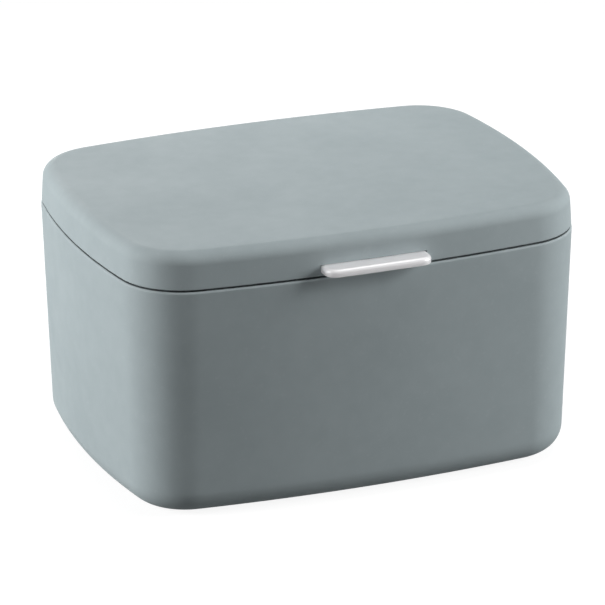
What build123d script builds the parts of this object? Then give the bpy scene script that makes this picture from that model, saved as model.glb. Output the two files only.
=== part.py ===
"""A storage box with bowed sides: a moulded tub, a hinged lid and a white finger grip."""

import os
from math import radians, sqrt, tan

from build123d import *

os.makedirs("parts", exist_ok=True)

# All sizes are in millimetres. X runs to the right, Y to the back and Z up.
# The origin is on the table, under the middle of the box.

# Plan of the box at its rim
box_width = 190.0
box_depth = 143.4
front_bow = 7.13         # how far the front and back bulge over the full width
side_bow = 8.88          # how far the sides bulge over the full depth
corner_radius = 26.4
circle_start = 45.0      # turns each large circle so that its own start lies off the plan

# Heights
foot_stand_off = 0.8     # how far the feet hold the tub off the table
seam_height = 92.8
seam_gap = 0.6
lid_top = 107.3

# Tub
tub_draft = 1.92         # degrees that the wall leans in towards the base
base_round = 10.3
tub_wall = 2.6
floor_chamfer = 4.5      # the sloping band between the floor and the walls, inside
rim_chamfer = 0.8
spigot_height = 1.6      # the thin inner ring that stands up from the rim
spigot_setback = 1.5
spigot_gap_half = 31.0   # the ring is left out in front, behind the grip

# Lid
lid_setback = 0.25       # how far the lid's foot stands inside the tub's rim
lid_draft = 3.6          # degrees that the skirt leans in towards the top
lid_wall = 2.4
lid_edge_round = 5.0
lid_inner_chamfer = 1.8
lid_foot_chamfer = 0.3
rebate_setback = 1.2
rebate_clearance = 0.3

# Finger grip, its slot and its screws
grip_width = 42.0
grip_thickness = 2.9
grip_height = 95.9
grip_front = 78.7        # distance of the grip's front edge from the middle of the box
grip_corner = 3.6
grip_edge_round = 1.1
slot_side_gap = 0.5
slot_face_gap = 0.15
slot_corner = 0.5
flange_width = 57.0
flange_height = 5.6
flange_thickness = 2.0
flange_corner = 2.6
boss_height = 1.7
boss_radius = 2.5
screw_spacing = 50.4
screw_radius = 0.9
screw_length = 5.0
screw_head_radius = 1.9
screw_head_height = 1.3
screw_hole_clearance = 0.15
drive_width = 0.5
drive_length = 2.2
drive_depth = 0.7

# Hinges
hinge_spacing = 90.0
hinge_axis_y = 74.3
hinge_radius = 3.0
ear_width = 4.0
knuckle_width = 8.0
knuckle_side_gap = 0.3
pin_radius = 1.25
pin_clearance = 0.06
pin_end_setback = 0.3
web_reach = 6.0          # how far the hinge webs run forward, into the wall
web_drop = 13.0
web_rise = 10.0
web_edge_gap = 0.7       # the webs keep this far below the rim and above the lid's foot

# Feet
foot_radius = 6.0
foot_thickness = 2.0
foot_pocket_gap = 0.1
foot_spacing_x = 132.0
foot_spacing_y = 86.0

# Worked out from the sizes above
half_width = box_width / 2
half_depth = box_depth / 2
front_radius = (half_width**2 + front_bow**2) / (2 * front_bow)
side_radius = (half_depth**2 + side_bow**2) / (2 * side_bow)
rim_height = seam_height - seam_gap / 2
lid_foot = seam_height + seam_gap / 2
spigot_top = rim_height + spigot_height
rebate_top = spigot_top + rebate_clearance
skirt_inner_y = lid_wall - half_depth
ear_centre = (knuckle_width + ear_width) / 2 + knuckle_side_gap
web_top = rim_height - web_edge_gap
knuckle_foot = lid_foot + web_edge_gap / 2
knuckle_shoulder = hinge_radius * sqrt(0.5)
pin_length = knuckle_width + 2 * (knuckle_side_gap + ear_width - pin_end_setback)
flange_face_y = skirt_inner_y + boss_height


def plan_outline(inset: float) -> Sketch:
    """The plan of the box drawn in by inset: what four large circles share, with its corners rounded."""
    with BuildSketch() as plan:
        Rectangle(2 * box_width, 2 * box_depth)
        for x, y, radius in (
            (half_width - side_radius, 0, side_radius),
            (side_radius - half_width, 0, side_radius),
            (0, half_depth - front_radius, front_radius),
            (0, front_radius - half_depth, front_radius),
        ):
            with Locations(Location((x, y, 0), (0, 0, circle_start))):
                Circle(radius - inset, mode=Mode.INTERSECT)
        fillet(plan.vertices(), corner_radius - inset)
    return plan.sketch


def finish(part: Part, name: str) -> None:
    """Label a finished piece and write it to its own file."""
    part.label = name
    export_step(part, f"parts/{name}.step")


# The tub's outer form without its rounds, drawn upside down, so that it narrows as it rises
with BuildPart() as tub_form:
    with BuildSketch():
        add(plan_outline(-spigot_height * tan(radians(tub_draft))))
    extrude(amount=spigot_top - foot_stand_off, taper=tub_draft)

# The tub: a tapered shell with a rounded base, a spigot round its rim and two hinge ears at each station
with BuildPart() as box_body:
    with Locations(Location((0, 0, spigot_top), (180, 0, 0))):
        add(tub_form.part)
    offset(amount=-tub_wall, openings=box_body.faces().sort_by(Axis.Z)[-1])
    chamfer(box_body.faces().filter_by(Axis.Z).sort_by(Axis.Z)[1].edges(), floor_chamfer)
    fillet(box_body.faces().sort_by(Axis.Z)[0].edges(), base_round)
    with BuildSketch(Plane.XY.offset(rim_height)):
        Rectangle(2 * box_width, 2 * box_depth)
        add(plan_outline(spigot_setback), mode=Mode.SUBTRACT)
        with Locations((0, -half_depth)):
            Rectangle(2 * spigot_gap_half, box_depth / 2)
    extrude(amount=spigot_height, mode=Mode.SUBTRACT)
    rim_face = box_body.faces().filter_by(Axis.Z).group_by(Axis.Z)[-2].sort_by(SortBy.AREA)[-1]
    chamfer(rim_face.outer_wire().edges(), rim_chamfer)
    # Each ear is a round eye on a web, squared off at its top rear corner, which stops the open lid
    for station in (-hinge_spacing / 2, hinge_spacing / 2):
        for side in (-ear_centre, ear_centre):
            with BuildSketch(Plane.YZ.offset(station + side - ear_width / 2)):
                with Locations((hinge_axis_y, seam_height)):
                    Circle(hinge_radius)
                    Rectangle(hinge_radius, hinge_radius, align=(Align.MIN, Align.MIN))
                with BuildLine():
                    Polyline(
                        (hinge_axis_y + hinge_radius, seam_height),
                        (hinge_axis_y + hinge_radius, seam_height - hinge_radius / 2),
                        (hinge_axis_y - web_reach, seam_height - web_drop),
                        (hinge_axis_y - web_reach, web_top),
                        (hinge_axis_y, web_top),
                        (hinge_axis_y, seam_height),
                        close=True,
                    )
                make_face()
            extrude(amount=ear_width)
    with BuildSketch(Plane.YZ.offset(-half_width)):
        with Locations((hinge_axis_y, seam_height)):
            Circle(pin_radius)
    extrude(amount=box_width, mode=Mode.SUBTRACT)
    with BuildSketch(Plane.XY.offset(foot_stand_off)):
        with GridLocations(foot_spacing_x, foot_spacing_y, 2, 2):
            Circle(foot_radius + foot_pocket_gap)
    extrude(amount=foot_thickness - foot_stand_off, mode=Mode.SUBTRACT)

finish(box_body.part, "box_body")

# Four soft feet, pressed into round pockets under the tub
foot_places = {
    "foot_front_left": (-1, -1),
    "foot_front_right": (1, -1),
    "foot_back_left": (-1, 1),
    "foot_back_right": (1, 1),
}
for name, (side, end) in foot_places.items():
    with BuildPart() as foot:
        with BuildSketch():
            with Locations((side * foot_spacing_x / 2, end * foot_spacing_y / 2)):
                Circle(foot_radius)
        extrude(amount=foot_thickness)
    finish(foot.part, name)

# A plain steel pin through each pair of ears
for name, station in (("hinge_pin_left", -hinge_spacing / 2), ("hinge_pin_right", hinge_spacing / 2)):
    with BuildPart() as pin:
        with BuildSketch(Plane.YZ.offset(station - pin_length / 2)):
            with Locations((hinge_axis_y, seam_height)):
                Circle(pin_radius)
        extrude(amount=pin_length)
    finish(pin.part, name)


# The lid: a tapered shell with a round top edge, a rebate for the spigot, a slot for the grip, and knuckles
with BuildPart() as lid_shell:
    with BuildSketch(Plane.XY.offset(lid_foot)):
        add(plan_outline(lid_setback))
    extrude(amount=lid_top - lid_foot, taper=lid_draft)
    offset(amount=-lid_wall, openings=lid_shell.faces().sort_by(Axis.Z)[0])
    chamfer(lid_shell.faces().filter_by(Axis.Z).sort_by(Axis.Z)[-2].edges(), lid_inner_chamfer)
    fillet(lid_shell.faces().sort_by(Axis.Z)[-1].edges(), lid_edge_round)
    chamfer(lid_shell.faces().sort_by(Axis.Z)[0].outer_wire().edges(), lid_foot_chamfer)
    for station in (-hinge_spacing / 2, hinge_spacing / 2):
        with BuildSketch(Plane.YZ.offset(station - knuckle_width / 2)):
            with Locations((hinge_axis_y, seam_height)):
                Circle(hinge_radius)
            with BuildLine():
                Polyline(
                    (hinge_axis_y - web_reach, knuckle_foot),
                    (hinge_axis_y, knuckle_foot),
                    (hinge_axis_y + knuckle_shoulder, seam_height + knuckle_shoulder),
                    (hinge_axis_y - web_reach, seam_height + web_rise),
                    close=True,
                )
            make_face()
        extrude(amount=knuckle_width)
    with BuildSketch(Plane.XY.offset(lid_foot)):
        add(plan_outline(rebate_setback))
        with Locations((0, -half_depth)):
            Rectangle(2 * spigot_gap_half - 2 * rebate_clearance, box_depth / 2, mode=Mode.SUBTRACT)
    extrude(amount=rebate_top - lid_foot, mode=Mode.SUBTRACT)
    with BuildSketch(Plane.YZ.offset(-half_width)):
        with Locations((hinge_axis_y, seam_height)):
            Circle(pin_radius + pin_clearance)
    extrude(amount=box_width, mode=Mode.SUBTRACT)
    # Two bosses behind the front wall carry the screws of the grip
    with BuildSketch(Plane.XZ.offset(half_depth - lid_wall / 2)):
        with Locations((0, grip_height)):
            with GridLocations(screw_spacing, 0, 2, 1):
                Circle(boss_radius)
    extrude(amount=-(lid_wall / 2 + boss_height))
    with BuildSketch(Plane.XZ.offset(-flange_face_y)):
        with Locations((0, grip_height)):
            with GridLocations(screw_spacing, 0, 2, 1):
                Circle(screw_radius)
    extrude(amount=screw_length - flange_thickness, mode=Mode.SUBTRACT)
    with BuildSketch(Plane.XZ.offset(half_depth)):
        with Locations((0, grip_height)):
            RectangleRounded(grip_width + 2 * slot_side_gap, grip_thickness + 2 * slot_face_gap, slot_corner)
    extrude(amount=-2 * lid_wall, mode=Mode.SUBTRACT)

finish(lid_shell.part, "lid_shell")

# The grip: a thin tab pushed out through the slot, with a screwed flange behind it
with BuildPart() as grip:
    with BuildSketch(Plane.XY.offset(grip_height - grip_thickness / 2)) as tab:
        with Locations((0, -grip_front)):
            Rectangle(grip_width, grip_front + flange_face_y, align=(Align.CENTER, Align.MIN))
        fillet(tab.vertices().group_by(Axis.Y)[0], grip_corner)
    extrude(amount=grip_thickness)
    fillet(grip.faces().filter_by(Axis.Z).edges() - grip.faces().sort_by(Axis.Y)[-1].edges(), grip_edge_round)
    with BuildSketch(Plane.XZ.offset(-flange_face_y)):
        with Locations((0, grip_height)):
            RectangleRounded(flange_width, flange_height, flange_corner)
            with GridLocations(screw_spacing, 0, 2, 1):
                Circle(screw_radius + screw_hole_clearance, mode=Mode.SUBTRACT)
    extrude(amount=-flange_thickness)

finish(grip.part, "grip")

# Two small round-headed screws with a cross in the head
for name, side in (("grip_screw_left", -1), ("grip_screw_right", 1)):
    head_plane = Plane.XZ.offset(-(flange_face_y + flange_thickness))
    with BuildPart() as screw:
        with BuildSketch(head_plane):
            with Locations((side * screw_spacing / 2, grip_height)):
                Circle(screw_radius)
        extrude(amount=screw_length)
        with BuildSketch(head_plane):
            with Locations((side * screw_spacing / 2, grip_height)):
                Circle(screw_head_radius)
        extrude(amount=-screw_head_height)
        with BuildSketch(head_plane.offset(-screw_head_height)):
            with Locations((side * screw_spacing / 2, grip_height)):
                Rectangle(drive_length, drive_width)
                Rectangle(drive_width, drive_length)
        extrude(amount=drive_depth, mode=Mode.SUBTRACT)
    finish(screw.part, name)
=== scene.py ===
"""A storage box with bowed sides: its shells, hinges, grip, screws and feet, dressed for a studio picture."""

import logging
from dataclasses import dataclass
from enum import Enum
from functools import cache, partial, reduce
from math import acos, asin, atan2, cos, pi, radians, sqrt, tan

import bmesh
import bpy
import numpy as np
from mathutils import Matrix, Vector
from mathutils.geometry import tessellate_polygon


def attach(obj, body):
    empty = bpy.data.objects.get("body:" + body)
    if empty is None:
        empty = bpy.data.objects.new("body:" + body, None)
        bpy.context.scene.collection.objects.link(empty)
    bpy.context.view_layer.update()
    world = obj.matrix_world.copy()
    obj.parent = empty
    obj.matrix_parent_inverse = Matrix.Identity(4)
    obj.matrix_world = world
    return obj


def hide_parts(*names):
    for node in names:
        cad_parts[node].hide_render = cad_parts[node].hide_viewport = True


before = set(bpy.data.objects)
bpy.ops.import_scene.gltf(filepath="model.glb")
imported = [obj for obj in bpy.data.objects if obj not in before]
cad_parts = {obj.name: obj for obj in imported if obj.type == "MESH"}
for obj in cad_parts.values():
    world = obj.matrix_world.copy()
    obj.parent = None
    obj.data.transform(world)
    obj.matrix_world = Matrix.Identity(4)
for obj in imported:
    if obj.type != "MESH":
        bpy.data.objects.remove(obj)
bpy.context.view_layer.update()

logging.basicConfig(level=logging.INFO, format="%(message)s")
log = logging.getLogger("storage box")

Array = np.ndarray
Material = bpy.types.Material
Object = bpy.types.Object
Socket = bpy.types.NodeSocket
Tree = bpy.types.NodeTree
Pair = tuple[float, float]
Triple = tuple[float, float, float]
Colour = tuple[float, float, float, float]
Numbers = tuple[float, ...]
Wear = float | Array

# Sizes are written in millimetres, in the frame of the CAD model, and become metres when a mesh is made.
MM = 0.001

# The attribute that tells a finish how exposed a point is: above zero it is worn, and on the tub's rim a
# highlight is painted; below zero, shade is painted in the gap between the tub and the lid.
WEAR_AND_SHADING = "wear_and_shading"

# Points nearer than this, in metres, are one point.
MERGED = 1e-6

# Edges that turn by more than this angle, in degrees, are sharp.
SHARP = 34.0

# How far a flat face runs on from its rounded edge, in millimetres, before its rings shrink to its middle.
FLAT = 8.0

# The places of those rings, from the middle at 0 to the last row at 1.
CLOSING = (0.3, 0.6, 0.85)

# Half the distance, in millimetres, between the two columns where a form of the front wall ends.
HALF_STEP = 0.05

# How far past the last column of a form, in millimetres, it is still found.
SLACK = 0.01

# Directions nearer than this, in radians, are one column.
SAME_DIRECTION = 1e-5

# The wear of a hinge plate's rims, faces and bore.
RIM_WEAR = 0.8
FACE_WEAR = 0.1
BORE_WEAR = 0.3

WHITE: Colour = (1.0, 1.0, 1.0, 1.0)


class Turn(Enum):
    """The axis that a turned piece is round about, with the axes of its radius."""

    ALONG_X = (1, 2, 0)
    ALONG_Y = (2, 0, 1)
    ALONG_Z = (0, 1, 2)


class Side(Enum):
    """Left or right of the middle of the box, as a sign of X."""

    LEFT = -1
    RIGHT = 1


# Shapes as arrays


def arc(inset: float, height: float, radius: float, start: float, end: float, steps: int) -> Array:
    """An arc of a wall's profile: inset - radius cos(t), height + radius sin(t), with t from start to end.

    Args:
        inset: how far its centre lies inside the plan.
        height: the height of its centre.
        radius: its radius.
        start: the angle of its first outward normal above the horizontal, in degrees.
        end: the angle of its last one.
        steps: the number of points.

    Returns:
        Rows of inset and height.
    """
    t = np.radians(np.linspace(start, end, steps))
    return np.column_stack([inset - radius * np.cos(t), height + radius * np.sin(t)])


def ring_quads(rows: int, columns: int) -> Array:
    """Quads of a grid that closes on itself across: row r and column c meet row r + 1 and column c + 1."""
    r, c = np.meshgrid(np.arange(rows - 1), np.arange(columns), indexing="ij")
    after = (c + 1) % columns
    corners = [r * columns + c, r * columns + after, (r + 1) * columns + after, (r + 1) * columns + c]
    return np.stack(corners, axis=-1).reshape(-1, 4)


def pole_fans(rows: int, columns: int) -> tuple[Array, Array]:
    """Triangles that close a ring grid at both ends, to two poles that follow its points."""
    c = np.arange(columns)
    after = (c + 1) % columns
    first, last, end = rows * columns, rows * columns + 1, (rows - 1) * columns
    return (
        np.column_stack([np.full(columns, first), after, c]),
        np.column_stack([end + c, end + after, np.full(columns, last)]),
    )


def placed(name: str, data: object) -> Object:
    """Makes an object of some data and puts it in the scene."""
    made = bpy.data.objects.new(name, data)
    bpy.context.scene.collection.objects.link(made)
    return made


class Surface:
    """Points, faces and edge wear gathered from several forms before they become one mesh."""

    def __init__(self) -> None:
        """Starts with nothing in it."""
        self.points: list[Array] = []
        self.wear_and_shading: list[Array] = []
        self.faces: list[Array] = []
        self.count = 0

    def add(self, points: Array, blocks: list[Array], wear_and_shading: Array) -> None:
        """Puts one form in.

        Args:
            points: its points in millimetres, one row each.
            blocks: its faces, as arrays of indices into points.
            wear_and_shading: how exposed each point is: up to 1 where worn and for the painted highlight on
                the tub's rim, down to -1 for painted shade in the gap under the lid.
        """
        self.points.append(points)
        self.wear_and_shading.append(wear_and_shading)
        self.faces += [block + self.count for block in blocks]
        self.count += len(points)

    def add_rings(self, rings: Array, wear_and_shading: Array, gone: Array | tuple = (), linings: tuple = ()) -> None:
        """Puts in a closed skin through rings of points, with a pole at the middle of its first and last.

        Args:
            rings: an array of rows x columns x 3.
            wear_and_shading: one value for each row.
            gone: the numbers of the quads that are left out.
            linings: faces that join the edges of such an opening.
        """
        rows, columns = rings.shape[:2]
        poles = np.stack([rings[0].mean(axis=0), rings[-1].mean(axis=0)])
        points = np.vstack([rings.reshape(-1, 3), poles])
        values = np.concatenate([np.repeat(wear_and_shading, columns), wear_and_shading[[0, -1]]])
        quads = np.delete(ring_quads(rows, columns), gone, axis=0)
        self.add(points, [quads, *pole_fans(rows, columns), *linings], values)

    def piece(self, name: str) -> Object:
        """Makes the mesh and its object, smooth but for its sharp edges.

        Points that a flattened ring brings together are merged, so that no face is left without an area.

        Args:
            name: the object's name.

        Returns:
            The new object, in the scene.
        """
        mesh = bpy.data.meshes.new(name)
        faces = [face for block in self.faces for face in block.tolist()]
        mesh.from_pydata((np.vstack(self.points) * MM).tolist(), [], faces)
        values = mesh.attributes.new(WEAR_AND_SHADING, "FLOAT", "POINT")
        values.data.foreach_set("value", np.concatenate(self.wear_and_shading).astype(np.float32))
        form = bmesh.new()
        form.from_mesh(mesh)
        bmesh.ops.remove_doubles(form, verts=form.verts, dist=MERGED)
        form.to_mesh(mesh)
        form.free()
        mesh.polygons.foreach_set("use_smooth", np.ones(len(mesh.polygons), bool))
        mesh.set_sharp_from_angle(angle=radians(SHARP))
        mesh.update()
        return placed(name, mesh)


def capped(rings: Array, wear_and_shading: Array, shares: Numbers) -> tuple[Array, Array]:
    """Adds rings inside the first ring and the last: the ring's middle + share (ring - middle), unworn.

    Args:
        rings: an array of rows x columns x 3.
        wear_and_shading: one value for each row.
        shares: the places of the new rings, from the middle at 0 outwards.

    Returns:
        All the rings, and the wear of each.
    """
    share = np.array(shares)[:, None, None]
    first, last = rings[0].mean(axis=0), rings[-1].mean(axis=0)
    before = first + share * (rings[:1] - first)
    after = last + share[::-1] * (rings[-1:] - last)
    unworn = np.zeros(len(shares))
    return np.concatenate([before, rings, after]), np.concatenate([unworn, wear_and_shading, unworn])


def turned(profile: Array, centre: Triple, turn: Turn, steps: int = 48) -> Array:
    """Rings of a turned piece: radius (cos a, sin a) across the axis and the profile's height along it.

    Args:
        profile: rows of radius and place along the axis, from the low end up.
        centre: the point on the axis from which the places are measured.
        turn: the axis.
        steps: the number of points round the axis.

    Returns:
        An array of rows x steps x 3.
    """
    u, v, w = turn.value
    a = np.linspace(0, 2 * pi, steps, endpoint=False)
    rings = np.zeros((len(profile), steps, 3))
    rings[..., u] = centre[u] + profile[:, :1] * np.cos(a)
    rings[..., v] = centre[v] + profile[:, :1] * np.sin(a)
    rings[..., w] = centre[w] + profile[:, 1:]
    return rings


def rounded_plate(half: Pair, radii: Numbers, steps: int) -> tuple[Array, Array]:
    """The outline of a rectangle with round corners: corner centre + radius (cos a, sin a), anticlockwise.

    Args:
        half: half its width and half its height.
        radii: the radius of its corner at the high right, high left, low left and low right.
        steps: the number of points round each corner.

    Returns:
        The points and their outward normals, two columns each.
    """
    quarter = np.linspace(0, pi / 2, steps)
    a = np.concatenate([quarter + k * pi / 2 for k in range(4)])
    normals = np.column_stack([np.cos(a), np.sin(a)])
    radius = np.repeat(radii, steps)[:, None]
    signs = np.repeat([(1, 1), (-1, 1), (-1, -1), (1, -1)], steps, axis=0)
    return signs * (np.array(half) - radius) + radius * normals, normals


def eased_slab(outline: Array, normals: Array, low: float, high: float, eases: Pair) -> tuple[Array, Array]:
    """Rings of a slab with rounded edges: outline - inset normal, with insets and heights on quarter circles.

    Args:
        outline: its plan, two columns.
        normals: the plan's outward normals.
        low: the height of its lower face.
        high: the height of its upper face.
        eases: the radius of its lower edge and of its upper edge.

    Returns:
        Rings of rows x points x 3 with the height last, and the wear of each row.
    """
    under, over = eases
    profile = np.vstack([
        arc(under, low + under, under, -90, 0, steps=7),
        arc(over, high - over, over, 0, 90, steps=13),
    ])
    plan = outline[None] - profile[:, :1, None] * normals[None]
    rings = np.concatenate([plan, np.broadcast_to(profile[:, 1:, None], plan.shape[:2] + (1,))], axis=2)
    wear_and_shading = np.sin(np.linspace(0, pi, len(profile))) ** 2
    return capped(rings, wear_and_shading, (0.35, 0.7, 0.93))


def mitred(outline: Array, inset: float) -> Array:
    """An anticlockwise outline drawn in by inset: each corner moves along its two normals' sum, mitred."""
    along = np.roll(outline, -1, axis=0) - outline
    along /= np.linalg.norm(along, axis=1, keepdims=True)
    after = np.column_stack([along[:, 1], -along[:, 0]])
    before = np.roll(after, 1, axis=0)
    return outline - inset * (before + after) / (1 + (before * after).sum(axis=1, keepdims=True))


def standing(outline: Array, x: float) -> Array:
    """The points of an outline in Y and Z at one X."""
    return np.column_stack([np.full(len(outline), x), outline])


def plate_faces(rim: Array, hole: Array) -> Array:
    """Triangles between an outline in Y and Z and its hole, anticlockwise, as indices into both in turn."""
    faces = np.array(tessellate_polygon([[Vector((y, z, 0)) for y, z in ring] for ring in (rim, hole)]))
    flat = np.vstack([rim, hole])
    a, b, c = (flat[faces[:, corner]] for corner in range(3))
    clockwise = (b - a)[:, 0] * (c - a)[:, 1] - (b - a)[:, 1] * (c - a)[:, 0] < 0
    faces[clockwise] = faces[clockwise][:, ::-1]
    return faces


def upright(outline: Array, hole: Array, sides: Pair, ease: float, surface: Surface) -> None:
    """Puts a plate that stands across X into a surface: an outline in Y and Z with a hole and rounded rims.

    The rims follow a quarter circle, so ring k of the outline is drawn in by ease (1 - sin t) at
    ease (1 - cos t) from the plate's side.

    Args:
        outline: its outline, anticlockwise as seen from the right.
        hole: the outline of its hole, clockwise.
        sides: the X of its left face and of its right face.
        ease: the radius of its rims.
        surface: where it goes.
    """
    left, right = sides
    t = np.linspace(0, pi / 2, 5)
    inset, depth = ease * (1 - np.sin(t)), ease * (1 - np.cos(t))
    insets = np.concatenate([inset, inset[::-1]])
    places = np.concatenate([left + depth, right - depth[::-1]])
    rings = np.stack([standing(mitred(outline, d), x) for x, d in zip(places, insets)])
    bores = np.stack([standing(hole, x) for x in sides])
    rows, columns = rings.shape[:2]
    body, bore = rows * columns, len(hole)
    faces = plate_faces(rings[0][:, 1:], hole)
    near = np.where(faces < columns, faces, faces - columns + body)
    far = np.where(faces < columns, faces + body - columns, faces - columns + body + bore)
    wear_and_shading = np.repeat(np.where(insets > 0, RIM_WEAR, FACE_WEAR), columns)
    surface.add(
        np.vstack([rings.reshape(-1, 3), bores.reshape(-1, 3)]),
        [ring_quads(rows, columns), body + ring_quads(2, bore), near[:, ::-1], far],
        np.concatenate([wear_and_shading, np.full(2 * bore, BORE_WEAR)]),
    )


def eased_corners(corners: Array, radius: float, steps: int) -> Array:
    """Rounds each corner of an outline: (1-t)(1-t) a + 2t(1-t) corner + t t b, from a to b on its two edges.

    Args:
        corners: the outline's corners.
        radius: how far from the corner a and b lie, or half the edge where that is less.
        steps: the number of points on each rounding.

    Returns:
        The new outline.
    """
    ends = []
    for neighbour in (1, -1):
        edge = np.roll(corners, neighbour, axis=0) - corners
        length = np.linalg.norm(edge, axis=1, keepdims=True)
        ends.append(corners + edge / length * np.minimum(radius, length / 2))
    a, b = ends
    t = np.linspace(0, 1, steps)[None, :, None]
    curve = (1 - t) ** 2 * a[:, None] + 2 * t * (1 - t) * corners[:, None] + t**2 * b[:, None]
    return curve.reshape(-1, 2)


@dataclass(frozen=True)
class BowedPlan:
    """The plan of the box at its rim: four great arcs, one for each side, joined by corner arcs.

    A point is found from the direction of its outward normal, a: it is the arc's centre + (radius - inset)
    (cos a, sin a), so a line drawn in by any inset keeps the same centres.
    """

    width: float = 190.0
    depth: float = 143.4
    front_bow: float = 7.13
    side_bow: float = 8.88
    corner_radius: float = 26.4
    side_columns: int = 45
    corner_columns: int = 27
    back_columns: int = 65

    def front_radius(self) -> float:
        """The radius of the front and back arcs: (half the width squared + bow squared) / (2 bow)."""
        return ((self.width / 2) ** 2 + self.front_bow**2) / (2 * self.front_bow)

    def side_radius(self) -> float:
        """The radius of the left and right arcs: (half the depth squared + bow squared) / (2 bow)."""
        return ((self.depth / 2) ** 2 + self.side_bow**2) / (2 * self.side_bow)

    def side_centre(self) -> Array:
        """The centre of the right arc."""
        return np.array([self.width / 2 - self.side_radius(), 0.0])

    def back_centre(self) -> Array:
        """The centre of the back arc."""
        return np.array([0.0, self.depth / 2 - self.front_radius()])

    def corner(self) -> Array:
        """The centre of the back right corner arc, which touches the side and back arcs from within."""
        near, far = self.side_radius() - self.corner_radius, self.front_radius() - self.corner_radius
        way = self.back_centre() - self.side_centre()
        gap = np.linalg.norm(way)
        along = (gap**2 + near**2 - far**2) / (2 * gap)
        across = sqrt(near**2 - along**2)
        x, y = way / gap
        return self.side_centre() + along * np.array([x, y]) + across * np.array([-y, x])

    def turns(self) -> Pair:
        """The directions of the normal where the corner arc at the back right begins and ends."""
        corner = self.corner()
        begin, end = (atan2(*(corner - centre)[::-1]) for centre in (self.side_centre(), self.back_centre()))
        return begin, end

    def directions(self, marks: Numbers) -> Array:
        """Directions of the normal once round the plan, closer together at the corners.

        Args:
            marks: places along X on the front that need a column of points of their own.

        Returns:
            The directions in radians, from 0 up to a full turn.
        """
        begin, end = self.turns()
        side = np.linspace(-begin, begin, self.side_columns)[:-1]
        corner = np.linspace(begin, end, self.corner_columns)[:-1]
        back = np.linspace(end, pi - end, self.back_columns)[:-1]
        half = np.concatenate([corner, back, pi - corner[::-1][:-1], [pi - end]])
        ring = np.concatenate([side, half, side + pi, half + pi])
        extra = np.array([2 * pi - acos(x / self.front_radius()) for x in marks])
        ring = np.sort(np.concatenate([np.mod(ring, 2 * pi), extra]))
        return ring[np.diff(ring, append=ring[0] + 2 * pi) > SAME_DIRECTION]

    def points(self, directions: Array, insets: Array, heights: Array) -> Array:
        """Carries a profile round the plan.

        Args:
            directions: the direction of the normal at each column.
            insets: rows x columns of how far each point lies inside the plan.
            heights: rows x columns of how high it lies.

        Returns:
            An array of rows x columns x 3.
        """
        normal = np.column_stack([np.cos(directions), np.sin(directions)])
        begin, end = self.turns()
        steep = np.abs(np.arcsin(normal[:, 1]))
        signs = np.where(normal < 0, -1.0, 1.0)
        side, front = steep < begin, steep > end
        centre = signs * self.corner()
        centre[side] = signs[side] * self.side_centre()
        centre[front] = signs[front] * self.back_centre()
        radius = np.where(side, self.side_radius(), np.where(front, self.front_radius(), self.corner_radius))
        plan = centre[None] + (radius[None] - insets)[..., None] * normal[None]
        return np.concatenate([plan, heights[..., None]], axis=2)


PLAN = BowedPlan()


@dataclass(frozen=True)
class Wall:
    """A leaning wall in section: its outside is inset + (z - height) tan(draft), its inside parallel."""

    inset: float
    height: float
    draft: float
    thickness: float

    def outside(self, z: float) -> float:
        """The inset of its outside at a height."""
        return self.inset + (z - self.height) * tan(radians(self.draft))

    def within(self, z: float, distance: float) -> float:
        """The inset at a height of what lies a distance inside it: outside + distance / cos(draft)."""
        return self.outside(z) + distance / cos(radians(self.draft))

    def inside(self, z: float) -> float:
        """The inset of its inside at a height."""
        return self.within(z, self.thickness)


class Shell:
    """A section gathered stretch by stretch, as rows of inset and height, and then carried round the plan."""

    def __init__(self) -> None:
        """Starts with nothing in it."""
        self.rows: list[Array] = []
        self.wear_and_shading: list[Array] = []
        self.named: dict[str, int] = {}

    def add(self, rows: Array, wear_and_shading: Wear = 0.0, name: str = "") -> None:
        """Puts the next stretch of the section in.

        Args:
            rows: its rows of inset and height, or a single one.
            wear_and_shading: one value, or one for each row.
            name: what a later step calls its first row.
        """
        if name:
            self.named[name] = sum(len(block) for block in self.rows)
        self.rows.append(np.atleast_2d(rows))
        self.wear_and_shading.append(np.zeros(len(self.rows[-1])) + wear_and_shading)

    def line(self, first: Pair, last: Pair, shares: Numbers, wear_and_shading: Wear = 0.0, name: str = "") -> None:
        """Puts points of a straight stretch in: first + share (last - first).

        Args:
            first: inset and height where the stretch begins.
            last: inset and height where it ends.
            shares: the places of the points, from 0 to 1.
            wear_and_shading: one value, or one for each point.
            name: what a later step calls its first row.
        """
        a, b = np.array(first, float), np.array(last, float)
        self.add(a + np.array(shares)[:, None] * (b - a), wear_and_shading, name)

    def carry(self, marks: Numbers) -> None:
        """Gives each row a column for each direction, with columns of their own at marks left and right."""
        profile = np.vstack(self.rows)
        self.directions = PLAN.directions(tuple(side.value * x for side in Side for x in marks))
        self.columns = len(self.directions)
        self.insets = np.repeat(profile[:, :1], self.columns, axis=1)
        self.heights = np.repeat(profile[:, 1:], self.columns, axis=1)

    def front(self, half: float) -> Array:
        """Which columns lie on the front, less than half from its middle along X."""
        level = np.zeros((1, self.columns))
        place = PLAN.points(self.directions, level, level)[0]
        return (place[:, 1] < 0) & (np.abs(place[:, 0]) < half)

    def start(self, name: str) -> int:
        """The number of the first point of a named row, counted after the rings that close the shell."""
        return (self.named[name] + len(CLOSING)) * self.columns

    def rings(self) -> tuple[Array, Array]:
        """The rings of the closed shell, and the wear of each."""
        skin = PLAN.points(self.directions, self.insets, self.heights)
        return capped(skin, np.concatenate(self.wear_and_shading), CLOSING)


# Finishes


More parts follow.
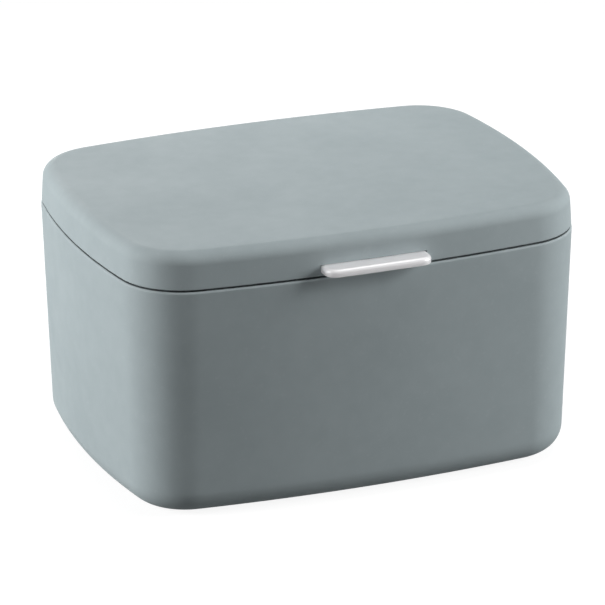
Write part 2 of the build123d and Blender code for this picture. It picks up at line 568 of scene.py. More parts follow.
class Nodes:
    """A node tree, with short calls to add its nodes and join them."""

    def __init__(self, tree: Tree) -> None:
        """Takes the tree that the nodes go into."""
        self.tree = tree

    def add(self, kind: str, inputs: dict | None = None, **settings: object) -> bpy.types.Node:
        """Adds a node.

        Args:
            kind: its type.
            inputs: a value or another node's socket for each input that is named or numbered.
            settings: the node's own settings.

        Returns:
            The node.
        """
        node = self.tree.nodes.new(kind)
        for name, value in settings.items():
            setattr(node, name, value)
        for name, value in (inputs or {}).items():
            if isinstance(value, Socket):
                self.tree.links.new(value, node.inputs[name])
            else:
                node.inputs[name].default_value = value
        return node

    def math(self, operation: str, *values: object, clamp: bool = False) -> Socket:
        """Adds a sum of up to three values or sockets and returns its result."""
        inputs = dict(enumerate(values))
        return self.add("ShaderNodeMath", inputs, operation=operation, use_clamp=clamp).outputs[0]

    def spread(self, value: Socket, given: Pair, wanted: Pair = (0.0, 1.0)) -> Socket:
        """Maps a value from one range to another, held at both ends."""
        return self.add("ShaderNodeMapRange", dict(enumerate((value, *given, *wanted)))).outputs[0]

    def blend(self, share: object, first: object, second: object) -> Socket:
        """Mixes two colours by a share and returns the colour."""
        inputs = {0: share, 6: first, 7: second}
        return self.add("ShaderNodeMix", inputs, data_type="RGBA").outputs[2]

    def place(self, stretch: Triple | None = None) -> Socket:
        """The place on the object, as it is or multiplied by a stretch along each axis."""
        place = self.add("ShaderNodeTexCoord").outputs["Object"]
        if stretch is None:
            return place
        return self.add("ShaderNodeMapping", {"Vector": place, "Scale": stretch}).outputs[0]

    def exposure(self) -> Socket:
        """The piece's own wear value: worn edges and a painted rim highlight above zero, painted shade below
        it.
        """
        return self.add("ShaderNodeAttribute", attribute_name=WEAR_AND_SHADING).outputs["Fac"]

    def seen(self, *rays: str) -> Socket:
        """1 for a ray of any of these kinds, and 0 for the others."""
        path = self.add("ShaderNodeLightPath").outputs
        kinds = (path[f"Is {ray} Ray"] for ray in rays)
        return reduce(partial(self.math, "MAXIMUM"), kinds)

    def noise(self, place: Socket, scale: object, detail: float = 2.0) -> Socket:
        """Adds a noise over a place and returns its value."""
        return self.add("ShaderNodeTexNoise", {"Vector": place, "Scale": scale, "Detail": detail}).outputs[0]

    def effect(self, group: Tree, inputs: dict | None = None) -> bpy.types.NodeOutputs:
        """Adds a shared effect and returns its outputs."""
        return self.add("ShaderNodeGroup", inputs, node_tree=group).outputs

    def shade(self, inputs: dict, height: Socket, relief: Pair) -> None:
        """Ends a material with one principled shader and its relief.

        Args:
            inputs: a value or a socket for each input of the shader that isn't left as it is.
            height: the height of the relief.
            relief: its strength, and its depth in metres.
        """
        strength, depth = relief
        bump = self.add("ShaderNodeBump", {"Strength": strength, "Distance": depth, "Height": height})
        shader = self.add("ShaderNodeBsdfPrincipled", inputs | {"Normal": bump.outputs[0]})
        self.add("ShaderNodeOutputMaterial", {"Surface": shader.outputs[0]})


def begin_effect(name: str, size: float) -> tuple[Nodes, Socket, Socket]:
    """Begins a shared node group with one number socket, Size, in metres.

    Args:
        name: the group's name.
        size: what Size is, unless a finish gives its own.

    Returns:
        Its nodes, the place on the object, and 1 / Size, the scale of a noise of that size.
    """
    tree = bpy.data.node_groups.new(name, "ShaderNodeTree")
    tree.interface.new_socket(name="Size", in_out="INPUT", socket_type="NodeSocketFloat").default_value = size
    nodes = Nodes(tree)
    given = nodes.add("NodeGroupInput").outputs["Size"]
    return nodes, nodes.place(), nodes.math("DIVIDE", 1.0, given)


def end_effect(nodes: Nodes, **results: Socket) -> Tree:
    """Gives a shared node group an output for each result, and returns the group."""
    for name in results:
        nodes.tree.interface.new_socket(name=name, in_out="OUTPUT", socket_type="NodeSocketFloat")
    nodes.add("NodeGroupOutput", results)
    return nodes.tree


@cache
def grain() -> Tree:
    """The texture of moulded plastic: a fine height, a slow drift of tone, and a few specks."""
    nodes, place, fine = begin_effect("moulded grain", 0.0006)
    pebbles = nodes.noise(place, fine)
    drift = nodes.noise(place, nodes.math("MULTIPLY", fine, 0.02), 3.0)
    cloud = nodes.noise(place, nodes.math("MULTIPLY", fine, 0.11))
    dots = nodes.noise(place, nodes.math("MULTIPLY", fine, 0.45), 0.0)
    tone = nodes.math("MULTIPLY_ADD", cloud, 0.4, nodes.math("MULTIPLY", drift, 0.6))
    return end_effect(nodes, Height=pebbles, Tone=tone, Specks=nodes.spread(dots, (0.70, 0.80)))


@cache
def worn_edges_and_highlight() -> Tree:
    """Worn edges, and a painted highlight on the tub's rim: the part of the piece's own wear value above
    zero, broken up by noise.
    """
    nodes, place, fine = begin_effect("rubbed edges", 0.004)
    broken = nodes.spread(nodes.noise(place, fine, 4.0), (0.35, 0.7), (0.25, 1.0))
    return end_effect(nodes, Mask=nodes.math("MULTIPLY", nodes.exposure(), broken, clamp=True))


@cache
def painted_gap_shade() -> Tree:
    """Painted shade in the gap between the tub and the lid: the part of the wear value below zero, turned
    round and broken up.
    """
    nodes, place, fine = begin_effect("joint grime", 0.003)
    sheltered = nodes.math("MULTIPLY", nodes.exposure(), -1.0, clamp=True)
    broken = nodes.spread(nodes.noise(place, fine, 3.0), (0.3, 0.6), (0.8, 1.0))
    return end_effect(nodes, Mask=nodes.math("MULTIPLY", sheltered, broken))


@cache
def settled_dust() -> Tree:
    """Dust that lies on what faces up, thin and uneven: how far up it faces x film x motes."""
    nodes, place, fine = begin_effect("settled dust", 0.02)
    normal = nodes.add("ShaderNodeNewGeometry").outputs["Normal"]
    up = nodes.spread(nodes.add("ShaderNodeSeparateXYZ", {0: normal}).outputs["Z"], (0.5, 1.0))
    film = nodes.spread(nodes.noise(place, fine, 5.0), (0.35, 0.75), (0.2, 1.0))
    motes = nodes.spread(nodes.noise(place, 2400.0, 1.0), (0.45, 0.8), (0.3, 1.0))
    lying = nodes.math("MULTIPLY", up, film)
    return end_effect(nodes, Mask=nodes.math("MULTIPLY", lying, motes, clamp=True))


def emptied(block: Material | bpy.types.World) -> Nodes:
    """Gives a new material or world an empty node tree."""
    block.use_nodes = True
    block.node_tree.nodes.clear()
    return Nodes(block.node_tree)


@dataclass(frozen=True)
class MattPlastic:
    """Soft-touch grey plastic: a fine pebbled skin with a faint drift of tone, a little paler where worn,
    with a painted highlight along the tub's rim and painted shade in the gap under the lid.

    A share says how much of a layer's colour shows where its mask is full.
    """

    colour: Colour = (0.400, 0.462, 0.478, 1.0)
    shade: Colour = (0.372, 0.432, 0.448, 1.0)
    # The pale colour of specks and worn edges; along the tub's rim it is a painted highlight.
    pale_and_highlight: Colour = (0.56, 0.61, 0.62, 1.0)
    dusty: Colour = (0.62, 0.63, 0.62, 1.0)
    # Near-black painted shade, laid in the gap between the tub and the lid.
    gap_shade: Colour = (0.045, 0.050, 0.052, 1.0)
    speck_share: float = 0.08
    wear_and_highlight_share: float = 0.30
    dust_share: float = 0.06
    gap_shade_share: float = 0.9
    grain_size: float = 0.0007
    roughness: Pair = (0.66, 0.74)
    wear_polish: float = 0.08
    relief: Pair = (0.25, 0.00004)
    specular: float = 0.15

    def material(self) -> Material:
        """Builds the material."""
        material = bpy.data.materials.new("soft_touch_grey")
        nodes = emptied(material)
        skin = nodes.effect(grain(), {"Size": self.grain_size})
        wear_and_shading = nodes.effect(worn_edges_and_highlight())["Mask"]
        dust = nodes.effect(settled_dust())["Mask"]
        painted_shade = nodes.effect(painted_gap_shade())["Mask"]
        colour = nodes.blend(nodes.spread(skin["Tone"], (0.35, 0.65)), self.colour, self.shade)
        # Layers: specks; worn edges, with a painted highlight on the tub's rim; dust; painted shade in the
        # gap under the lid.
        for mask, share, layer in (
            (skin["Specks"], self.speck_share, self.pale_and_highlight),
            (wear_and_shading, self.wear_and_highlight_share, self.pale_and_highlight),
            (dust, self.dust_share, self.dusty),
            (painted_shade, self.gap_shade_share, self.gap_shade),
        ):
            colour = nodes.blend(nodes.math("MULTIPLY", mask, share), colour, layer)
        rough = nodes.spread(skin["Tone"], (0.3, 0.7), self.roughness)
        rough = nodes.math("MULTIPLY_ADD", wear_and_shading, -self.wear_polish, rough)
        inputs = {"Base Color": colour, "Roughness": rough, "Specular IOR Level": self.specular}
        nodes.shade(inputs, skin["Height"], self.relief)
        return material


@dataclass(frozen=True)
class GlossPlastic:
    """Glossy white plastic with a faint ripple and hairline marks where fingers rub it."""

    colour: Colour = (0.88, 0.865, 0.88, 1.0)
    worn: Colour = (0.80, 0.80, 0.80, 1.0)
    wear_and_highlight_share: float = 0.15
    grain_size: float = 0.0012
    hairline_stretch: Triple = (1.0, 9.0, 9.0)
    hairline_scale: float = 900.0
    roughness: Pair = (0.16, 0.27)
    wear_roughness: float = 0.05
    relief: Pair = (0.08, 0.00004)
    coat_roughness: float = 0.42
    coat_ior: float = 2.2
    scatter_depth: float = 0.003

    def material(self) -> Material:
        """Builds the material."""
        material = bpy.data.materials.new("gloss_white")
        nodes = emptied(material)
        wear_and_shading = nodes.effect(worn_edges_and_highlight())["Mask"]
        hairlines = nodes.noise(nodes.place(self.hairline_stretch), self.hairline_scale)
        rough = nodes.spread(hairlines, (0.4, 0.75), self.roughness)
        inputs = {
            "Base Color": nodes.blend(nodes.math("MULTIPLY", wear_and_shading, self.wear_and_highlight_share), self.colour, self.worn),
            "Roughness": nodes.math("MULTIPLY_ADD", wear_and_shading, self.wear_roughness, rough),
            "Coat Weight": 1.0,
            "Coat Roughness": self.coat_roughness,
            "Coat IOR": self.coat_ior,
            "Subsurface Weight": 1.0,
            "Subsurface Radius": (1.0, 1.0, 1.0),
            "Subsurface Scale": self.scatter_depth,
        }
        nodes.shade(inputs, nodes.effect(grain(), {"Size": self.grain_size})["Tone"], self.relief)
        return material


@dataclass(frozen=True)
class DrawnSteel:
    """Drawn steel wire: fine lines along the piece and duller ends."""

    colour: Colour = (0.60, 0.60, 0.61, 1.0)
    dull: Colour = (0.42, 0.42, 0.43, 1.0)
    stain_scale: float = 700.0
    line_stretch: Triple = (0.08, 1.0, 1.0)
    line_scale: float = 6000.0
    roughness: Pair = (0.22, 0.38)
    wear_roughness: float = 0.1
    relief: Pair = (0.2, 0.00001)

    def material(self) -> Material:
        """Builds the material."""
        material = bpy.data.materials.new("drawn_steel")
        nodes = emptied(material)
        wear_and_shading = nodes.effect(worn_edges_and_highlight())["Mask"]
        lines = nodes.noise(nodes.place(self.line_stretch), self.line_scale, 3.0)
        stains = nodes.noise(nodes.place(), self.stain_scale, 3.0)
        rough = nodes.spread(lines, (0.3, 0.7), self.roughness)
        inputs = {
            "Base Color": nodes.blend(nodes.spread(stains, (0.4, 0.7), (0.0, 0.5)), self.colour, self.dull),
            "Roughness": nodes.math("MULTIPLY_ADD", wear_and_shading, self.wear_roughness, rough),
            "Metallic": 1.0,
        }
        nodes.shade(inputs, lines, self.relief)
        return material


@dataclass(frozen=True)
class SoftRubber:
    """Grey rubber: matt, pebbled, and dusty where it touches the table."""

    colour: Colour = (0.085, 0.088, 0.092, 1.0)
    bloom: Colour = (0.17, 0.17, 0.17, 1.0)
    wear_and_highlight_share: float = 0.4
    grain_size: float = 0.0004
    roughness: Pair = (0.7, 0.9)
    relief: Pair = (0.4, 0.00005)

    def material(self) -> Material:
        """Builds the material."""
        material = bpy.data.materials.new("soft_rubber")
        nodes = emptied(material)
        skin = nodes.effect(grain(), {"Size": self.grain_size})
        wear_and_shading = nodes.effect(worn_edges_and_highlight())["Mask"]
        tone = nodes.spread(skin["Tone"], (0.35, 0.65), (0.0, 0.6))
        tone = nodes.math("MULTIPLY_ADD", wear_and_shading, self.wear_and_highlight_share, tone)
        inputs = {
            "Base Color": nodes.blend(tone, self.colour, self.bloom),
            "Roughness": nodes.spread(skin["Height"], (0.3, 0.7), self.roughness),
        }
        nodes.shade(inputs, skin["Height"], self.relief)
        return material


class Finishes:
    """The finishes of the box, each built once."""

    def __init__(self) -> None:
        """Builds them all."""
        self.matt = MattPlastic().material()
        self.gloss = GlossPlastic().material()
        self.steel = DrawnSteel().material()
        self.rubber = SoftRubber().material()


def dress(piece: Object, material: Material, body: str, node: str) -> None:
    """Gives a finished piece its material, its body and the CAD node it stands for.

    Args:
        piece: the new piece, in place.
        material: its finish.
        body: the CAD body it moves with.
        node: the CAD node it replaces.
    """
    piece.data.materials.append(material)
    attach(piece, body)
    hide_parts(node)
    log.info("%s: %d faces, rides on %s", piece.name, len(piece.data.polygons), body)


# The box


@dataclass(frozen=True)
class Hinges:
    """The two hinges at the back: ears on the tub, knuckles on the lid, and a steel pin through each."""

    spacing: float = 90.0
    axis_y: float = 74.3
    axis_z: float = 92.8
    radius: float = 3.0
    pin_radius: float = 1.25
    pin_clearance: float = 0.06
    pin_length: float = 16.0
    pin_chamfer: float = 0.2
    pin_worn_end: float = 0.5
    knuckle_width: float = 8.0
    knuckle_foot: float = 93.45
    knuckle_top: float = 102.8
    ear_width: float = 4.0
    ear_top: float = 91.8
    ear_foot: float = 79.8
    ear_slope: float = 91.3
    side_gap: float = 0.3
    wall_y: float = 68.3
    ease: float = 0.22
    corner_ease: float = 0.5

    def circle(self, radius: float, start: float, end: float, steps: int) -> Array:
        """Points round the axis: axis + radius (cos a, sin a), with a from start to end in degrees."""
        a = np.radians(np.linspace(start, end, steps))
        return np.column_stack([self.axis_y + radius * np.cos(a), self.axis_z + radius * np.sin(a)])

    def foot_of_eye(self, height: float) -> float:
        """How far below the level of the axis, in degrees, the round of an eye meets a height."""
        return np.degrees(asin((self.axis_z - height) / self.radius))

    def add_plates(self, outline: Array, bore: float, width: float, offsets: Numbers, into: Surface) -> None:
        """Puts plates with a round hole into a surface.

        Args:
            outline: the outline of each, in Y and Z.
            bore: the radius of the hole.
            width: how far each plate reaches along X.
            offsets: how far the middles of the plates lie from the middle of each hinge.
            into: where they go.
        """
        hole = self.circle(bore, 0, -360, steps=41)[:-1]
        for side in Side:
            for offset in offsets:
                middle = side.value * self.spacing / 2 + offset
                upright(outline, hole, (middle - width / 2, middle + width / 2), self.ease, into)

    def add_ears(self, surface: Surface) -> None:
        """Puts the tub's four ears in: a round eye on a web, squared at its upper back, the lid's stop."""
        back, top = self.axis_y + self.radius, self.axis_z + self.radius
        foot = (self.wall_y, self.ear_foot)
        steps = 7
        corners = np.array([foot, (back, self.ear_slope), (back, top), (self.axis_y, top)])
        square = eased_corners(corners, self.corner_ease, steps)[steps:-steps]
        round_part = self.circle(self.radius, 90, 180 + self.foot_of_eye(self.ear_top), steps=22)
        outline = np.vstack([[foot], square, round_part, [(self.wall_y, self.ear_top)]])
        reach = (self.knuckle_width + self.ear_width) / 2 + self.side_gap
        self.add_plates(outline, self.pin_radius, self.ear_width, (-reach, reach), surface)

    def add_knuckles(self, surface: Surface) -> None:
        """Puts the lid's two knuckles in: a round eye on a web that rises up the lid's back wall."""
        round_part = self.circle(self.radius, 180 + self.foot_of_eye(self.knuckle_foot), 405, steps=48)
        web = [(self.wall_y, self.knuckle_top), (self.wall_y, self.knuckle_foot)]
        bore = self.pin_radius + self.pin_clearance
        self.add_plates(np.vstack([round_part, web]), bore, self.knuckle_width, (0.0,), surface)

    def add_pins(self, finishes: Finishes) -> None:
        """Makes the two pins: a turned rod with chamfered ends."""
        end, radius, cut, worn = -self.pin_length / 2, self.pin_radius, self.pin_chamfer, self.pin_worn_end
        half = np.array([(radius / 3, end), (radius - cut, end), (radius, end + cut), (radius, end + worn)])
        profile = np.vstack([half, half[::-1] * (1, -1)])
        wear_and_shading = np.array([0.2, 1.0, 1.0, 0.0])
        for side in Side:
            surface = Surface()
            centre = (side.value * self.spacing / 2, self.axis_y, self.axis_z)
            rings = turned(profile, centre, Turn.ALONG_X, steps=40)
            surface.add_rings(rings, np.concatenate([wear_and_shading, wear_and_shading[::-1]]))
            name = f"hinge_pin_{side.name.lower()}"
            dress(surface.piece(f"{name}_rod"), finishes.steel, "box", name)


@dataclass(frozen=True)
class Tub:
    """The tub: a tapered moulded shell with a rounded base, a rim, and a spigot that locates the lid."""

    base: float = 0.8
    rim: float = 92.5
    draft: float = 1.92
    wall: float = 2.6
    base_round: float = 10.3
    rim_round: float = 1.0
    spigot_height: float = 1.6
    spigot_setback: float = 1.5
    spigot_round: float = 0.3
    gap_half: float = 31.0

    def section(self) -> Shell:
        """The section from the middle of the underside, up the outside, over the rim and down to the floor.

        The outside leans in by tan(draft) for each millimetre below the rim. The inside is parallel to it,
        one wall away, and both are tangent to base arcs about one centre.

        Returns:
            The shell, with its rows and their wear.
        """
        wall = Wall(0.0, self.rim, -self.draft, self.wall)
        knee_z, brow_z = self.base + self.base_round, self.rim - self.rim_round
        knee, brow = wall.within(knee_z, self.base_round), wall.within(brow_z, self.rim_round)
        top, edge, ring = self.rim + self.spigot_height, self.spigot_round, self.spigot_setback
        shoulder, foot = wall.inside(top - edge), wall.inside(self.rim)
        base_arc = arc(knee, knee_z, self.base_round, -90, -self.draft, steps=18)
        rim_arc = arc(brow, brow_z, self.rim_round, -self.draft, 90, steps=19)
        rim_turns = np.linspace(-self.draft, 90, len(rim_arc))
        floor_arc = arc(knee, knee_z, self.base_round - self.wall, -self.draft, -90, steps=14)
        floor = floor_arc[-1][1]
        shell = Shell()
        shell.line((knee + FLAT, self.base), (knee, self.base), (0.0, 0.6, 0.95))
        shell.add(base_arc, 0.12)
        shell.line(base_arc[-1], rim_arc[0], (0.01, 0.08, 0.3, 0.55, 0.8, 0.95, 0.993))
        # The rim's round: a pale band, partly worn and partly a painted highlight, then painted shade turning
        # in under the lid.
        shell.add(rim_arc, np.interp(rim_turns, (0.0, 15.0, 50.0, 64.0), (0.0, 1.0, 1.0, -1.0)))
        # Painted shade on the ledge and the spigot's wall, in the gap under the lid.
        shell.line((brow, self.rim), (ring, self.rim), (0.3, 1.0), -1.0)
        shell.line((ring, self.rim), (ring, top - edge), (0.2, 0.4, 0.9), np.array([-0.8, -0.2, 0.0]))
        shell.add(arc(ring + edge, top - edge, edge, 0, 90, steps=5), 0.3)
        shell.add(arc(shoulder - edge, top - edge, edge, 90, 180, steps=5), 0.3)
        shell.line((shoulder, top - edge), (foot, self.rim), (0.4, 1.0))
        shell.line((foot, self.rim), floor_arc[0], (0.01, 0.1, 0.35, 0.65, 0.9, 0.99))
        shell.add(floor_arc)
        shell.line(floor_arc[-1], (knee + FLAT, floor), (0.05, 0.4, 1.0))
        return shell

    def build(self, hinges: Hinges, finishes: Finishes) -> None:
        """Carries the section round the plan, opens the spigot behind the grip and adds the ears."""
        shell = self.section()
        shell.carry((self.gap_half - HALF_STEP, self.gap_half + HALF_STEP))
        gap = shell.front(self.gap_half)
        shell.heights[:, gap] = np.minimum(shell.heights[:, gap], self.rim)
        surface = Surface()
        surface.add_rings(*shell.rings())
        hinges.add_ears(surface)
        dress(surface.piece("tub_shell"), finishes.matt, "box", "box_body")


@dataclass(frozen=True)
class Lid:
    """The lid: a short tapered skirt, a round edge and a flat top, with a slot for the grip and a rebate."""

    foot: float = 93.1
    top: float = 107.3
    setback: float = 0.25
    draft: float = 3.6
    wall: float = 2.4
    edge_round: float = 5.0
    foot_round: float = 0.35
    rebate_top: float = 94.4
    rebate_setback: float = 1.2
    rebate_half: float = 30.7
    slot_half: float = 21.5
    slot_low: float = 94.3
    slot_high: float = 97.5
    boss_radius: float = 2.5
    boss_core: float = 0.8
    boss_chamfer: float = 0.2
    boss_face: float = -67.6
    boss_root: float = -69.75
    boss_x: float = 25.2
    boss_z: float = 95.9

    def section(self) -> Shell:
        """The lid's section from the middle of its ceiling, down the inside, round the foot and over the top.

        The outside starts a setback in from the plan and leans in by tan(draft) for each millimetre above the
        foot. The inside is parallel to it, one wall away, and both are tangent to arcs about one centre.

        Returns:
            The shell, with its rows, their wear, and names for the slot's edges and the rebate.
        """
        wall = Wall(self.setback, self.foot, self.draft, self.wall)
        crest_z, toe_z = self.top - self.edge_round, self.foot + self.foot_round
        crest, toe = wall.within(crest_z, self.edge_round), wall.within(toe_z, self.foot_round)
        ceiling_arc = arc(crest, crest_z, self.edge_round - self.wall, 90, self.draft, steps=11)
        toe_arc = arc(toe, toe_z, self.foot_round, -90, self.draft, steps=7)
        edge_arc = arc(crest, crest_z, self.edge_round, self.draft, 90, steps=17)
        ceiling = ceiling_arc[0][1]
        inner_low, inner_high = ((wall.inside(z), z) for z in (self.slot_low, self.slot_high))
        outer_low, outer_high = ((wall.outside(z), z) for z in (self.slot_low, self.slot_high))
        rebate = (wall.inside(self.rebate_top), self.rebate_top), (self.rebate_setback, self.rebate_top)
        shell = Shell()
        shell.line((crest + FLAT, ceiling), (crest, ceiling), (0.0, 0.6, 0.95))
        shell.add(ceiling_arc)
        shell.line(ceiling_arc[-1], inner_high, (0.1, 0.9))
        shell.add(inner_high, name="inner high")
        shell.add(inner_low, name="inner low")
        shell.line(*rebate, (0.0, 1.0), name="rebate")
        # Painted shade on the foot's face and the lower half of the toe's round; its upper half is a little
        # worn.
        shell.line((self.rebate_setback, self.foot), (toe, self.foot), (0.0, 0.7), -0.2)
        shell.add(toe_arc, np.linspace(-0.3, 0.3, len(toe_arc)))
        shell.line(toe_arc[-1], outer_low, (0.3,))
        shell.add(outer_low, name="outer low")
        shell.add(outer_high, name="outer high")
        shell.line(outer_high, edge_arc[0], (0.2, 0.8, 0.97))
        shell.add(edge_arc, 0.25)
        shell.line((crest, self.top), (crest + FLAT, self.top), (0.05, 0.4, 1.0))
        return shell

    def slot(self, shell: Shell) -> tuple[Array, tuple[Array, ...]]:
        """Cuts the grip's slot through both walls and joins its edges by a floor, a roof and two ends.

        Args:
            shell: the lid's shell, already carried round the plan.

        Returns:
            The numbers of the quads that go, and the faces that line the slot.
        """
        names = ("inner low", "inner high", "outer low", "outer high")
        inner_low, inner_high, outer_low, outer_high = (shell.start(name) for name in names)
        cut = np.flatnonzero(shell.front(self.slot_half + SLACK))
        a, b = cut[:-1], cut[1:]
        floor = np.column_stack([outer_low + a, outer_low + b, inner_low + b, inner_low + a])
        roof = np.column_stack([inner_high + a, inner_high + b, outer_high + b, outer_high + a])
        left = np.array([outer_low, inner_low, inner_high, outer_high]) + cut[0]
        right = np.array([outer_low, outer_high, inner_high, inner_low]) + cut[-1]
        return np.concatenate([inner_high + a, outer_low + a]), (floor, roof, np.stack([left, right]))

    def build(self, hinges: Hinges, finishes: Finishes) -> None:
        """Fills the rebate behind the grip, cuts the slot, and adds the screw bosses and the knuckles."""
        shell = self.section()
        shell.carry((self.rebate_half - HALF_STEP, self.rebate_half + HALF_STEP, self.slot_half))
        first = shell.named["rebate"]
        shell.heights[first : first + 2, shell.front(self.rebate_half)] = self.foot
        surface = Surface()
        surface.add_rings(*shell.rings(), *self.slot(shell))
        core, radius, cut = self.boss_core, self.boss_radius, self.boss_chamfer
        boss = np.array([
            (core, self.boss_root), (radius, self.boss_root), (radius, self.boss_face - cut),
            (radius - cut, self.boss_face), (core, self.boss_face),
        ])
        for side in Side:
            centre = (side.value * self.boss_x, 0.0, self.boss_z)
            surface.add_rings(turned(boss, centre, Turn.ALONG_Y, steps=32), np.zeros(len(boss)))
        hinges.add_knuckles(surface)
        dress(surface.piece("lid_skin"), finishes.matt, "lid", "lid_shell")


@dataclass(frozen=True)
class Grip:
    """The finger grip: a thin tab with soft edges that comes out of the slot, and its flange inside."""

    half_width: float = 21.4
    front: float = -78.7
    back: float = -66.6
    low: float = 94.42
    high: float = 97.42
    corner: float = 4.6
    back_corner: float = 0.6
    eases: Pair = (0.5, 1.4)
    flange_half: float = 28.5
    flange_height: float = 95.9
    flange_half_height: float = 2.8
    flange_face: float = -67.6
    flange_thickness: float = 2.0
    flange_corner: float = 2.6
    flange_eases: Pair = (0.35, 0.35)

    def build(self, finishes: Finishes) -> None:
        """Makes the tab and the flange as eased slabs, the tab flat and the flange upright."""
        surface = Surface()
        half = (self.half_width, (self.back - self.front) / 2)
        radii = (self.back_corner, self.back_corner, self.corner, self.corner)
        outline, normals = rounded_plate(half, radii, steps=17)
        outline = outline + [0.0, (self.back + self.front) / 2]
        surface.add_rings(*eased_slab(outline, normals, self.low, self.high, self.eases))
        half = (self.flange_half_height, self.flange_half)
        outline, normals = rounded_plate(half, (self.flange_corner,) * 4, steps=11)
        outline = outline + [self.flange_height, 0.0]
        high = self.flange_face + self.flange_thickness
        rings, wear_and_shading = eased_slab(outline, normals, self.flange_face, high, self.flange_eases)
        surface.add_rings(rings[..., [1, 2, 0]], wear_and_shading)
        dress(surface.piece("grip_tab"), finishes.gloss, "lid", "grip")


@dataclass(frozen=True)
class Feet:
    """The four soft feet, turned, with a rounded lower edge."""

    radius: float = 6.0
    height: float = 2.0
    ease: float = 0.4
    core: float = 2.0
    sole: float = 4.8
    place_x: float = 66.0
    place_y: float = 43.0

    def build(self, finishes: Finishes) -> None:
        """Makes each foot: a flat face, a quarter round of radius ease, a wall and a top."""
        t = np.linspace(0, pi / 2, 6)
        edge = np.column_stack([self.radius - self.ease * (1 - np.sin(t)), self.ease * (1 - np.cos(t))])
        face = [(self.core, 0.0), (self.sole, 0.0)]
        top = [(self.radius, self.height), (self.core, self.height)]
        profile = np.vstack([face, edge, top])
        wear_and_shading = np.concatenate([[0.6, 0.6], np.ones(len(edge)), [0.0, 0.0]])
        for side in Side:
            for end, y in (("front", -self.place_y), ("back", self.place_y)):
                surface = Surface()
                surface.add_rings(turned(profile, (side.value * self.place_x, y, 0.0), Turn.ALONG_Z), wear_and_shading)
                name = f"foot_{end}_{side.name.lower()}"
                dress(surface.piece(f"{name}_pad"), finishes.rubber, "box", name)


def dress_screws(finishes: Finishes) -> None:
    """Gives the grip's screws, which keep their CAD shape, their steel."""
    for side in Side:
        name = f"grip_screw_{side.name.lower()}"
        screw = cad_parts[name]
        for slot in screw.material_slots:
            slot.material = finishes.steel
        log.info("%s: CAD shape, rides on lid", name)


# The studio


@dataclass(frozen=True)
class Lamp:
    """A soft box: where it stands, how large and how strong it is, and what it faces, in metres and watts."""

    name: str
    place: Triple
    size: Pair
    power: float
    faces: Triple = (0.0, 0.0, 0.06)

    def build(self) -> None:
        """Makes the area light and turns it to what it faces."""
        light = bpy.data.lights.new(self.name, "AREA")
        light.shape = "RECTANGLE"
        light.size, light.size_y = self.size
        light.energy = self.power
        made = placed(self.name, light)
        made.location = self.place
        made.visible_camera = False
        made.rotation_euler = (Vector(self.faces) - Vector(self.place)).to_track_quat("-Z", "Y").to_euler()


LAMPS = (
    Lamp("left_low_box", (-1.115, 0.644, 0.241), (0.45, 0.3), 4.36),
    Lamp("left_side_box", (-1.115, 0.3, 0.15), (0.45, 0.2), 3.52),
    Lamp("left_high_box", (-1.178, 0.0, 0.609), (0.45, 0.45), 7.87),
    Lamp("right_low_box", (1.115, -0.644, 0.241), (0.45, 0.3), 3.23),
    Lamp("right_high_box", (1.020, -0.589, 0.609), (0.45, 0.45), 9.37),
    Lamp("top_box", (0.445, 0.0, 1.282), (0.45, 0.45), 3.42),
    Lamp("front_top_box", (0.2, -0.3, 1.25), (0.45, 0.45), 1.08),
    Lamp("back_strip", (0.03, 0.40, 0.22), (0.3, 0.08), 0.75, (0.0, 0.05, 0.1)),
)


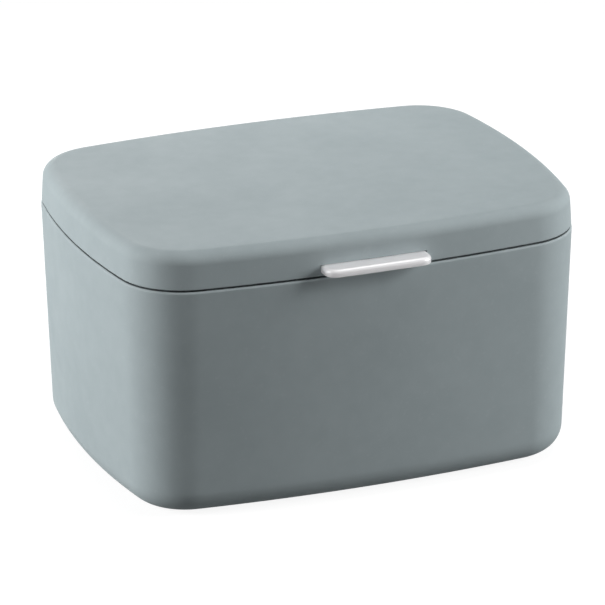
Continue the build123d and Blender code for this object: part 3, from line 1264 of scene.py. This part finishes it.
@dataclass(frozen=True)
class Studio:
    """The pale floor, the even surroundings, the soft boxes and the camera at the photograph's angle."""

    floor_reach: float = 12.0
    floor_tone: float = 0.2
    floor_glow: float = 0.9
    surroundings: float = 0.0103
    camera_place: Triple = (-648.457, -1649.340, 726.541)
    camera_right: Triple = (0.93030, -0.36678, -0.00389)
    camera_up: Triple = (0.13340, 0.32844, 0.93506)
    focal_pixels: float = 4871.9
    picture_pixels: float = 605.0
    sensor: float = 36.0
    clip: Pair = (0.05, 50.0)

    def floor(self) -> None:
        """Lays the floor: pale, white to the camera where it is lit, and seen through from below."""
        reach = self.floor_reach
        corners = [(-reach, -reach, 0), (reach, -reach, 0), (reach, reach, 0), (-reach, reach, 0)]
        mesh = bpy.data.meshes.new("floor")
        mesh.from_pydata(corners, [], [(0, 1, 2, 3)])
        floor = placed("floor", mesh)
        material = bpy.data.materials.new("pale_floor")
        nodes = emptied(material)
        diffuse = nodes.add("ShaderNodeBsdfDiffuse", {"Color": (self.floor_tone,) * 3 + (1.0,)})
        strength = nodes.math("MULTIPLY", nodes.seen("Camera", "Glossy"), self.floor_glow)
        glow = nodes.add("ShaderNodeEmission", {"Color": WHITE, "Strength": strength})
        lit = nodes.add("ShaderNodeAddShader", {0: diffuse.outputs[0], 1: glow.outputs[0]})
        under = nodes.add("ShaderNodeNewGeometry").outputs["Backfacing"]
        clear = nodes.add("ShaderNodeBsdfTransparent")
        both = nodes.add("ShaderNodeMixShader", {0: under, 1: lit.outputs[0], 2: clear.outputs[0]})
        nodes.add("ShaderNodeOutputMaterial", {"Surface": both.outputs[0]})
        mesh.materials.append(material)

    def world(self) -> None:
        """Sets even surroundings, which the camera and reflections see as white."""
        world = bpy.data.worlds.new("surroundings")
        nodes = emptied(world)
        seen = nodes.seen("Camera", "Glossy", "Transmission")
        strength = nodes.spread(seen, (0.0, 1.0), (self.surroundings, 1.0))
        glow = nodes.add("ShaderNodeBackground", {"Color": WHITE, "Strength": strength})
        nodes.add("ShaderNodeOutputWorld", {"Surface": glow.outputs[0]})
        bpy.context.scene.world = world

    def camera(self) -> None:
        """Places the camera: it looks against right x up, with the lens of the photograph's scale."""
        lens = bpy.data.cameras.new("camera")
        lens.sensor_width = self.sensor
        lens.lens = self.sensor * self.focal_pixels / self.picture_pixels
        lens.clip_start, lens.clip_end = self.clip
        camera = placed("camera", lens)
        right = np.array(self.camera_right) / np.linalg.norm(self.camera_right)
        back = np.cross(right, self.camera_up)
        back /= np.linalg.norm(back)
        pose = np.eye(4)
        pose[:3] = np.column_stack([right, np.cross(back, right), back, np.array(self.camera_place) * MM])
        camera.matrix_world = Matrix(pose.tolist())
        bpy.context.scene.camera = camera

    def build(self) -> None:
        """Sets the whole studio up."""
        self.floor()
        self.world()
        for lamp in LAMPS:
            lamp.build()
        self.camera()
        bpy.context.scene.view_settings.view_transform = "Standard"


def main() -> None:
    """Builds the box piece by piece, then the studio."""
    finishes = Finishes()
    hinges = Hinges()
    Tub().build(hinges, finishes)
    Lid().build(hinges, finishes)
    Grip().build(finishes)
    hinges.add_pins(finishes)
    Feet().build(finishes)
    dress_screws(finishes)
    Studio().build()


if __name__ == "__main__":
    main()
